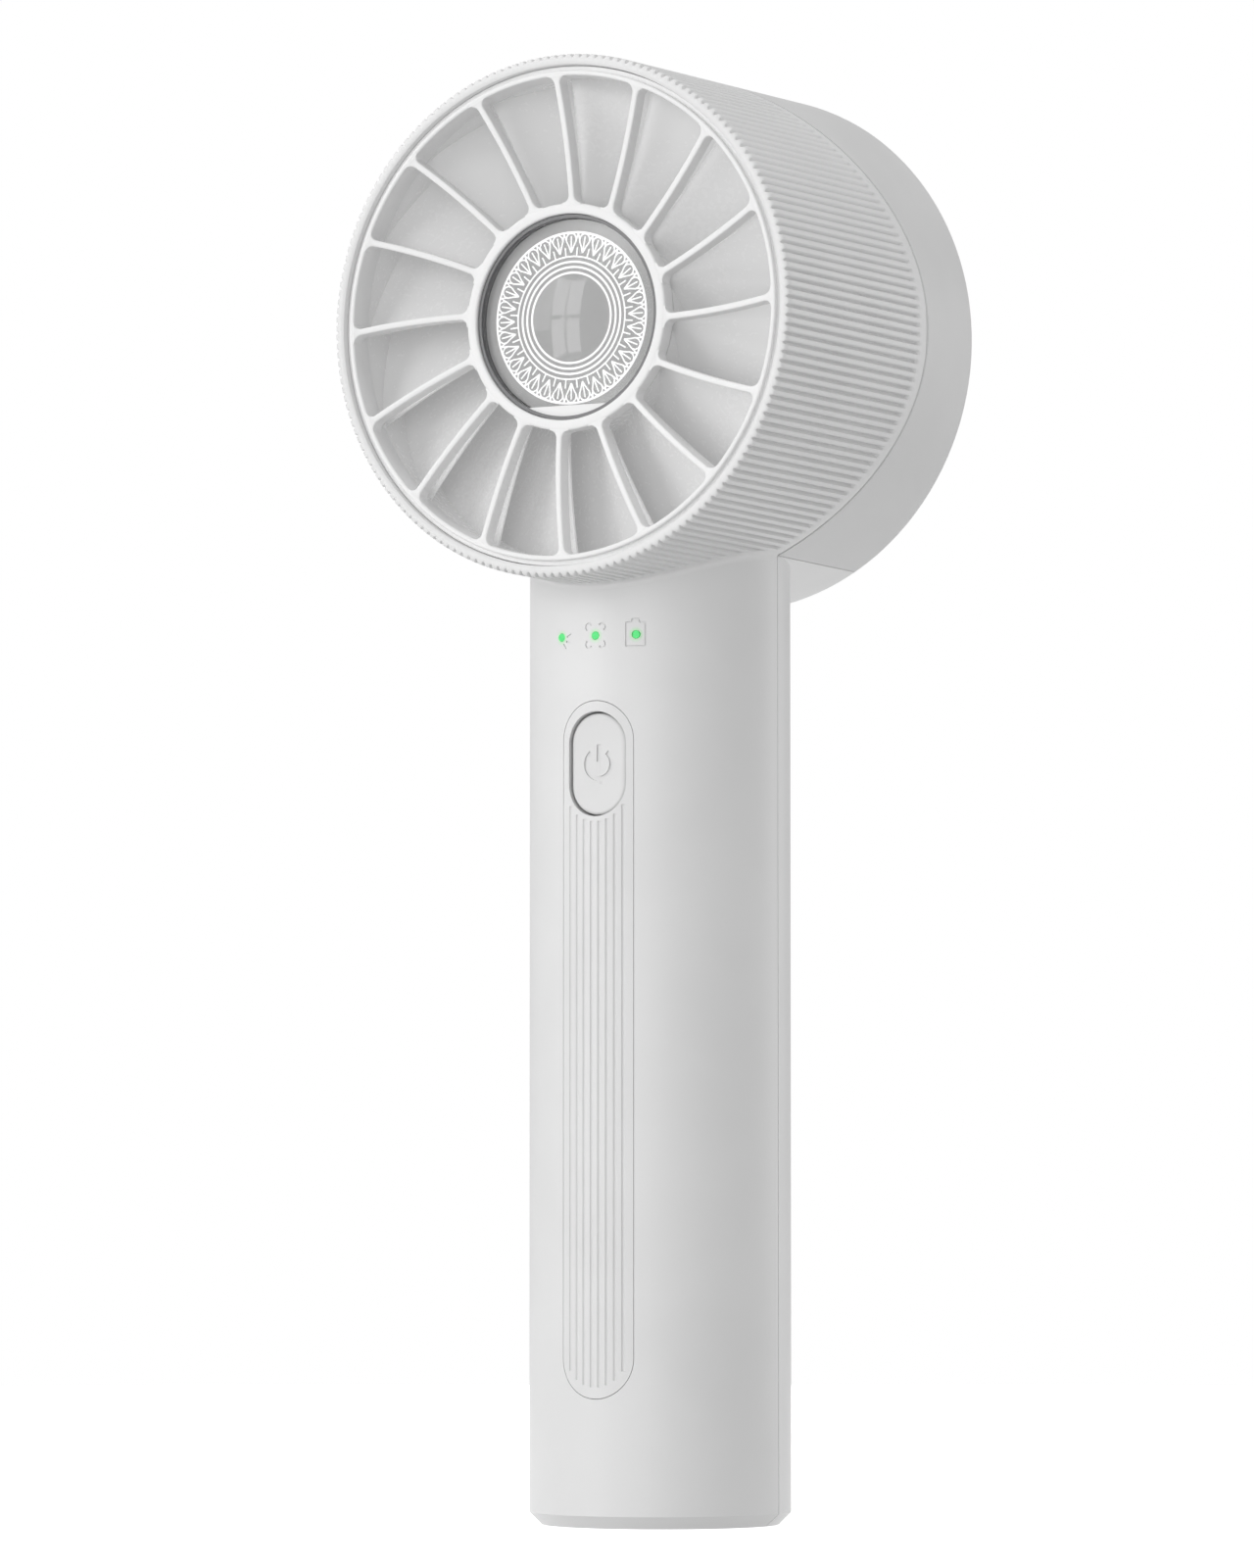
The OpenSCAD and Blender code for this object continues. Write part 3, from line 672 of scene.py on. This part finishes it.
def front_grille(material):
    """Rim, hub ring and spokes, in one moulding."""
    step_r, step_y = 37.0, GRILLE_Y + 0.8
    rim = rounded([(GRILLE_R, GRILLE_Y, 0.3), (step_r, GRILLE_Y, 0.25), (step_r, step_y, 0.0),
                   (FITTED_R, step_y, 0.1), (FITTED_R, GRILLE_BACK, 0.0), (GRILLE_R, GRILLE_BACK, 0.2)])
    hub_front = GRILLE_Y + DISH
    hub = rounded([(HUB_BORE, hub_front, 0.3), (HUB_R, hub_front, 0.35), (HUB_R, HUB_RING_BACK, 0.1),
                   (HUB_BORE, HUB_RING_BACK, 0.1)])
    shells = [turned(rim, 240), turned(hub, 160)] + [spoke(k) for k in range(SPOKE_COUNT)]
    grille = raw("grille_moulding", shells)
    finished(grille, material, "housing", ["front_grille"], crease=40.0)


# ---------- hub ornament ----------

def flat_ring(r, width, y0, y1):
    """A printed circle."""
    return turned(section(r - width / 2, r + width / 2, y0, y1), 144)


def ink_line(path, width, y0, y1):
    """A printed line through (x, z) points, mitred, on the disc's face."""
    left, right = [], []
    for i, (x, z) in enumerate(path):
        x0, z0 = path[max(i - 1, 0)]
        x1, z1 = path[min(i + 1, len(path) - 1)]
        length = math.hypot(x1 - x0, z1 - z0)
        nx, nz = -(z1 - z0) / length * width / 2, (x1 - x0) / length * width / 2
        left.append((x + nx, z + nz))
        right.append((x - nx, z - nz))
    return prism(left + right[::-1], y0, y1)


def printed_rosette(material):
    """A lace ring of pointed loops between plain circles, printed on the disc."""
    y0, y1 = DISC_Y - 0.035, DISC_Y + 0.01
    # radius and width of each plain circle
    rings = ((12.95, 0.34), (9.3, 0.26), (8.5, 0.34), (7.7, 0.34), (6.85, 0.34))
    shells = [flat_ring(r, w, y0, y1) for r, w in rings]
    units = 32
    broad, fine = 0.24, 0.2

    def at(turn, r):
        a = 2 * math.pi * turn / units
        return (r * math.sin(a), HEAD_Z + r * math.cos(a))

    for k in range(units):
        for side in (-1, 1):
            petal = [at(k, 9.9), at(k + side * 0.2, 10.9), at(k + side * 0.37, 11.7),
                     at(k + side * 0.34, 12.3), at(k + side * 0.18, 12.72), at(k, 12.85)]
            shells.append(ink_line(petal, broad, y0, y1))
            shells.append(ink_line([at(k + side * 0.37, 11.75), at(k + side * 0.5, 12.85)], fine, y0, y1))
        shells.append(ink_line([at(k, 10.3), at(k, 12.4)], broad, y0, y1))
        shells.append(ink_line([at(k + 0.5, 9.4), at(k + 0.5, 10.7)], broad, y0, y1))
    print_film = raw("ornament_print", shells)
    finished(print_film, material, "housing", crease=20.0)


def hub_flat(material):
    """The white flat across the foot of the hub's recess."""
    r, drop = 15.0, 13.35       # its rounded side, and how far its straight side lies below the axis
    y0, y1 = -28.32, -28.22
    half = math.sqrt(r * r - drop * drop)
    start = math.atan2(-drop, half)
    end = -math.pi - start
    outline = [(r * math.cos(a), HEAD_Z + r * math.sin(a)) for a in np.linspace(start, end, 25)]
    flat = raw("hub_flat", [prism(outline, y0, y1)])
    finished(flat, material, "housing", crease=20.0)


# ---------- guide vanes and impeller ----------

def swept_blade(start, r_in, r_out, y0, y1, sweep, thick, lean=0.0, stations=9, steps=14):
    """A twisted blade that sweeps round the axis as it runs back, the same angle at every radius.

    It starts with its tip at one angle, and its root lags by the lean. All angles are in degrees.
    """
    sections = []
    for r in np.linspace(r_in, r_out, stations):
        first = start - lean * (r_out - r) / (r_out - r_in)
        left, right = [], []
        for k in range(steps + 1):
            t = 0.5 - 0.5 * math.cos(math.pi * k / steps)
            y = y0 + (y1 - y0) * t
            turn = sweep * (0.62 * t + 0.38 * t * t)
            slope = math.radians(sweep) * r * (0.62 + 0.76 * t) / (y1 - y0)
            half = thick / 2 * math.sqrt(1 + slope * slope) * max(1 - (2 * t - 1) ** 8, 0.0) ** 0.5
            for side, edge in ((1, left), (-1, right)):
                angle = math.radians(first + turn) + side * half / r
                edge.append((r * math.cos(angle), y, HEAD_Z + r * math.sin(angle)))
        sections.append(left + right[-2:0:-1])
    return lofted(sections)


def guide_vanes(material):
    """Fixed vanes between two rings, the deck that carries the motor, and the arm for its leads."""
    # inner radius, outer radius, front and rear of each ring
    outer = rounded(section(36.5, FITTED_R, -26.7, LEDGE_Y), 0.15)
    inner = rounded(section(15.0, 16.4, -24.9, LEDGE_Y), 0.15)
    deck = section(5.25, 15.1, -15.0, -13.0)
    shells = [turned(outer, 200), turned(inner, 120), turned(deck, 96)]
    for k in range(VANE_COUNT):
        start = 360 / VANE_COUNT * k + SPOKE_TURN
        shells.append(swept_blade(start, 16.1, 36.9, VANE_FRONT, VANE_BACK, VANE_SWEEP, 1.1, SPOKE_SWEEP))
    arm = rounded(section(-1.7, 1.7, -17.2, -12.6), 0.5)
    shells.append(lofted([[(x, y, z) for x, y in arm] for z in (HEAD_Z - 15.2, HEAD_Z - 37.2)]))
    carrier = raw("guide_vane_carrier", shells)
    finished(carrier, material, "housing", ["guide_vanes"], crease=40.0)


def impeller(material):
    """A hub that is hollow at the front, rounded at the back and capped over the shaft, with its blades."""
    hub_in, hub_out, shaft_r = 14.25, 16.4, 2.0
    hub_front, floor_y, back_y = -10.8, 6.1, 14.0
    bend, bend_r, bend_y = 6, 10.4, 8.0         # the rounded edge, and the place of its centre
    hub = [(hub_in, hub_front), (hub_out, hub_front), (hub_out, bend_y)]
    hub += [(bend_r + bend * math.cos(a), bend_y + bend * math.sin(a))
            for a in np.linspace(0.15, math.pi / 2, 8)]
    hub += [(shaft_r, back_y), (shaft_r, floor_y), (hub_in, floor_y)]
    shells = [turned(hub, 120)]
    cap = rounded([(0.4, 12.9), (2.2, 12.9), (2.2, back_y, 0.1), (0.4, back_y, 0.1)], 0.05)
    shells.append(turned(cap, 32))
    shells += [swept_blade(360 / BLADE_COUNT * k, 16.2, 36.1, -9.8, 9.6, BLADE_SWEEP, 1.2)
               for k in range(BLADE_COUNT)]
    wheel = raw("impeller_wheel", shells)
    finished(wheel, material, "rotor", ["impeller"], crease=40.0)


# ---------- power button ----------

def pill(inset, count=96):
    """Points round a stadium, from its right side anticlockwise, inset from the button's outline."""
    r = BUTTON_HALF_W - inset
    reach = BUTTON_HALF_H - BUTTON_HALF_W
    points = []
    for k in range(count):
        a = math.pi * (k + 0.5) * 2 / count
        points.append((r * math.cos(a), BUTTON_Z + r * math.sin(a) + (reach if a < math.pi else -reach)))
    return points


def button_face(x, z):
    """The button's front along Y: the handle's curve, hollowed for the thumb."""
    hollow_r = 60.0
    cylinder = -math.sqrt(BUTTON_R ** 2 - x * x)
    hollow = -HANDLE_R - 58.9 + math.sqrt(hollow_r ** 2 - (z - BUTTON_Z) ** 2)
    return max(cylinder, hollow)


def power_button(material):
    """The cap, with a sign sunk into it, and the flange and stem behind it."""
    rings = [[(x, BUTTON_BACK, z) for x, z in pill(0.0)]]
    edge = 0.5
    for k in range(6):
        a = math.radians(90.0 * k / 5)
        inset, sink = edge * (1 - math.cos(a)), edge * (1 - math.sin(a))
        rings.append([(x, button_face(x, z) + sink, z) for x, z in pill(inset)])
    for inset in (0.9, 1.6, 2.4, 3.2, 3.9, 4.5):
        rings.append([(x, button_face(x, z), z) for x, z in pill(inset)])
    count = len(rings[0])
    points = [p for ring in rings for p in ring]
    faces = loop_faces(len(rings), count, close_rows=False)
    last = (len(rings) - 1) * count
    # the strip that closes the face, and the flat back
    faces += [(last + k, last + k + 1, last + count - 2 - k, last + count - 1 - k)
              for k in range(count // 2 - 1)]
    faces.append(tuple(range(count)))
    cap = raw("power_button_cap", [(points, faces)])
    # the sign: an open ring, and a bar in its gap
    gap, ring_out, ring_in, bar_half = 38, 2.55, 1.85, 0.35
    ring_angles = [math.radians(a) for a in np.linspace(90 + gap, 450 - gap, 41)]
    ring = [(ring_out * math.cos(a), BUTTON_Z + ring_out * math.sin(a)) for a in ring_angles]
    ring += [(ring_in * math.cos(a), BUTTON_Z + ring_in * math.sin(a)) for a in reversed(ring_angles)]
    shape_by(cap, raw("sign_ring", [prism(ring, SIGN_FRONT, SIGN_FLOOR)]), "DIFFERENCE")
    bar = section(-bar_half, bar_half, BUTTON_Z + 0.4, BUTTON_Z + 2.95)
    shape_by(cap, raw("sign_bar", [prism(bar, SIGN_FRONT, SIGN_FLOOR)]), "DIFFERENCE")
    flange_back, stem_r, stem_back = -15.9, 1.6, -15.4
    flange = prism(pill(-0.9), BUTTON_BACK, flange_back)
    stem = [(stem_r * math.cos(a), BUTTON_Z + stem_r * math.sin(a)) for a in around(32)]
    base = raw("power_button_base", [flange, prism(stem, flange_back, stem_back)])
    finished(cap, material, "button", ["power_button"], crease=40.0)
    finished(base, material, "button", ["power_button"], crease=40.0)


# ---------- stage, lights and camera ----------

def stage():
    """A pale round floor that throws no light back, and a backdrop that only the camera sees."""
    floor_finish, wall_finish = plain_floor("floor"), white_backdrop("backdrop")
    bpy.ops.mesh.primitive_circle_add(vertices=96, radius=0.8, fill_type="NGON", location=(0.0, 0.0, 0.0))
    floor = bpy.context.active_object
    floor.name = "floor"
    floor.data.materials.append(floor_finish)
    floor.visible_diffuse = False
    bpy.ops.mesh.primitive_uv_sphere_add(segments=48, ring_count=24, radius=10.0, location=(0.0, 0.0, 0.0))
    wall = bpy.context.active_object
    wall.name = "backdrop"
    wall.data.materials.append(wall_finish)
    wall.visible_diffuse = False
    wall.visible_glossy = False
    wall.visible_transmission = False
    wall.visible_shadow = False


def soft_light(name, azimuth, elevation, distance, width, height, power):
    """An area light that looks at the head. Azimuth 0 is in front, and positive to the right."""
    a, e = math.radians(azimuth), math.radians(elevation)
    aim = Vector((0.0, 0.0, 0.13))
    out = Vector((math.sin(a) * math.cos(e), -math.cos(a) * math.cos(e), math.sin(e)))
    lamp = bpy.data.lights.new(name, "AREA")
    lamp.shape = "RECTANGLE"
    lamp.size, lamp.size_y = width, height
    lamp.energy = power
    light = bpy.data.objects.new(name, lamp)
    light.location = aim + out * distance
    light.rotation_euler = (-out).to_track_quat("-Z", "Y").to_euler()
    bpy.context.scene.collection.objects.link(light)


def studio():
    """An even white room, four soft lights and a window."""
    world = bpy.data.worlds.new("studio")
    world.use_nodes = True
    room = world.node_tree.nodes["Background"]
    room.inputs["Color"].default_value = (1.0, 1.0, 1.0, 1.0)
    room.inputs["Strength"].default_value = 0.53
    bpy.context.scene.world = world
    # name, azimuth, elevation, distance, width, height, power
    soft_light("key", -56.0, 24.0, 1.6, 0.9, 1.2, 5.4)
    soft_light("front", 14.0, -4.0, 2.4, 1.3, 2.0, 17.5)
    soft_light("rear_edge", 150.0, 3.0, 1.6, 0.6, 0.9, 3.4)
    soft_light("top", 90.0, 80.0, 1.5, 0.8, 1.2, 6.0)
    # a window of four panes, whose image lies in the hub's clear dome
    for column in (-1, 1):
        for row in (-1, 1):
            name = "pane_%d_%d" % (column, row)
            soft_light(name, -30.0 + column * 5.0, 9.0 + row * 9.8, 1.5, 0.23, 0.46, 1.3)


def camera():
    """A long lens to the right of the front, a little above the floor, that looks slightly up."""
    # where it stands about the fan, and where it looks
    azimuth, away, height = math.radians(29.309), 1.0682, 0.04942
    aim, rise = math.radians(29.582), math.radians(3.409)
    eye = bpy.data.cameras.new("view")
    eye.lens = 160.07
    eye.sensor_width = 36.0
    eye.clip_start, eye.clip_end = 0.01, 50.0
    view = bpy.data.objects.new("view", eye)
    view.location = (away * math.sin(azimuth), -away * math.cos(azimuth), height)
    forward = Vector((-math.sin(aim) * math.cos(rise), math.cos(aim) * math.cos(rise), math.sin(rise)))
    view.rotation_euler = forward.to_track_quat("-Z", "Y").to_euler()
    bpy.context.scene.collection.objects.link(view)
    bpy.context.scene.camera = view


# ---------- the whole fan ----------

camera()
studio()
stage()
bpy.context.scene.view_settings.view_transform = "Standard"

# painted light: the casing carries a painted pool of green light round each indicator
shell = moulded("casing_white", (0.76, 0.76, 0.76), painted_light=light_spill)
rear = moulded("rear_cover_white", (0.69, 0.69, 0.69), rough=0.46, grain=3.4, grain_depth=0.02,
               cloud=0.04)
back = moulded("handle_back_white", (0.8, 0.8, 0.8))
grille = moulded("grille_white", (0.82, 0.82, 0.82), rough=0.36, grain_depth=0.006)
inlay = moulded("inlay_white", (0.75, 0.75, 0.75), rough=0.4)
button = moulded("button_white", (0.7, 0.7, 0.7), rough=0.34, grain_depth=0.005)
# painted shade and light: the vanes are the casing's white plastic, tinted grey for the shade inside the
# barrel, with a painted glow that lifts the darkest of that shade
vane = moulded("vane_painted_shade_and_glow", (0.62, 0.62, 0.62), rough=0.26, grain=1.2, grain_depth=0.0005, coat=0.2,
               painted_glow=0.2)
blade = moulded("blade_grey", (0.8, 0.8, 0.8), rough=0.28, grain=1.2, grain_depth=0.0005, coat=0.3)
# painted shade: the hub cup is made near black to stand for the shade on the wall of the hub's recess
cup = moulded("hub_grey", (0.11, 0.11, 0.115), rough=0.2, grain_depth=0.0004, coat=0.5)
disc = moulded("ornament_grey", (0.4, 0.4, 0.4), rough=0.5, grain_depth=0.0002)
black = moulded("black_plastic", (0.02, 0.02, 0.022), rough=0.4)
steel = metal("bright_steel", (0.72, 0.73, 0.75), 0.2, drawn=(4.0, 0.3, 4.0))

FINISHES = {
    "rear_cover": rear,
    "handle_back_shell": back,
    "intake_grille": grille,
    "hub_cup": cup,
    "ornament_disc": disc,
    "ornament_lens": clear_plastic("clear_lens"),
    "rotor_can": steel,
    "magnet_ring": moulded("magnet", (0.07, 0.07, 0.075), rough=0.5, grain=4.0),
    "motor_shaft": metal("ground_steel", (0.8, 0.8, 0.82), 0.1, drawn=(5.0, 0.2, 5.0)),
    "shaft_clip": metal("spring_steel", (0.3, 0.3, 0.33), 0.3),
    "bearing_tube": metal("brass", (0.78, 0.58, 0.25), 0.24, drawn=(1.0, 5.0, 1.0)),
    "front_bearing": steel,
    "rear_bearing": steel,
    "stator_core": laminated("lamination"),
    "motor_windings": wound("winding"),
    "motor_board": printed_board("motor_board"),
    "motor_screws": metal("screw_steel", (0.6, 0.6, 0.63), 0.28, per_mm=4.0),
    "motor_leads": moulded("lead_sleeve", (0.5, 0.03, 0.025), rough=0.45),
    "grip_inlay": inlay,
    "switch_plunger": black,
    "switch_body": metal("switch_can", (0.66, 0.66, 0.68), 0.3, per_mm=3.0),
    "control_board": printed_board("control_board"),
    "board_screws": metal("board_screw_steel", (0.6, 0.6, 0.63), 0.28, per_mm=4.0),
    "indicator_lenses": lit_plastic("indicator_green"),
    "indicator_leds": moulded("led_chip", (0.75, 0.72, 0.45), rough=0.3, grain=6.0),
    "battery_cell": cell_sleeve("cell_wrap"),
    "battery_cradle": black,
    "battery_contacts": metal("contact_steel", (0.75, 0.72, 0.6), 0.22, drawn=(0.4, 3.0, 3.0)),
    "battery_leads": moulded("battery_lead_sleeve", (0.5, 0.03, 0.025), rough=0.45),
    "charge_board": printed_board("charge_board"),
    "usb_shell": metal("socket_steel", (0.7, 0.71, 0.73), 0.22, drawn=(0.3, 3.0, 3.0)),
    "usb_tongue": black,
    "housing_screws": metal("housing_screw_steel", (0.6, 0.6, 0.63), 0.28, per_mm=4.0),
}
for name, material in FINISHES.items():
    mesh = NODES[name].data
    mesh.materials.clear()
    mesh.materials.append(material)

front_casing(shell)
front_grille(grille)
guide_vanes(vane)
impeller(blade)
printed_rosette(ink("ornament_ink"))
hub_flat(grille)
power_button(button)
